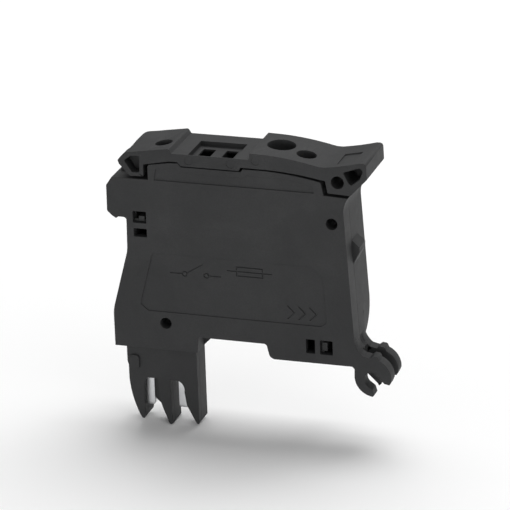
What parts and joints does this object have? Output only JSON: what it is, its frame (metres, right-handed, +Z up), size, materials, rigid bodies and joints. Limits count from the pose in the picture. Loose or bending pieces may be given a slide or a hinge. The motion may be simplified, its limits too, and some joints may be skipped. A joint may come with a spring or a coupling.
{
  "type": "fuse plug",
  "caption": "Plug-in fuse holder for a rail terminal block, carrying a glass cartridge fuse under a hinged lever.",
  "frame": {"origin": "axis of the pivot claw at mid width of the housing", "axes": "+X from the tongue side towards the claw side, +Y from the front cover to the rear housing, +Z up, away from the rail"},
  "size_m": [0.0383, 0.0082, 0.0399],
  "materials": {
    "black_plastic": "satin",
    "tinned_contact": "satin tin plate",
    "clip_metal": "satin",
    "cap_metal": "bright nickel plate",
    "fuse_glass": "clear",
    "solder": "dull",
    "cement": "matte"
  },
  "bodies": {
    "housing": {"front_cover": "black_plastic", "rear_housing": "black_plastic", "contact_blade_left": "tinned_contact", "contact_blade_right": "tinned_contact", "fuse_clip_left": "clip_metal", "fuse_clip_right": "clip_metal", "clip_rivets": "tinned_contact"},
    "lever": {"fuse_lever": "black_plastic", "fuse_glass_tube": "fuse_glass", "fuse_cap_left": "cap_metal", "fuse_cap_right": "cap_metal", "fuse_wire": "tinned_contact", "fuse_solder_left": "solder", "fuse_solder_right": "solder", "fuse_cement_left": "cement", "fuse_cement_right": "cement"}
  },
  "joints": [
    {"name": "lever_hinge", "type": "hinge", "parent": "housing", "child": "lever", "pos_m": [-0.0323, 0, 0.0271], "axis": [0, -1, 0], "range_deg": [0, 90]}
  ]
}
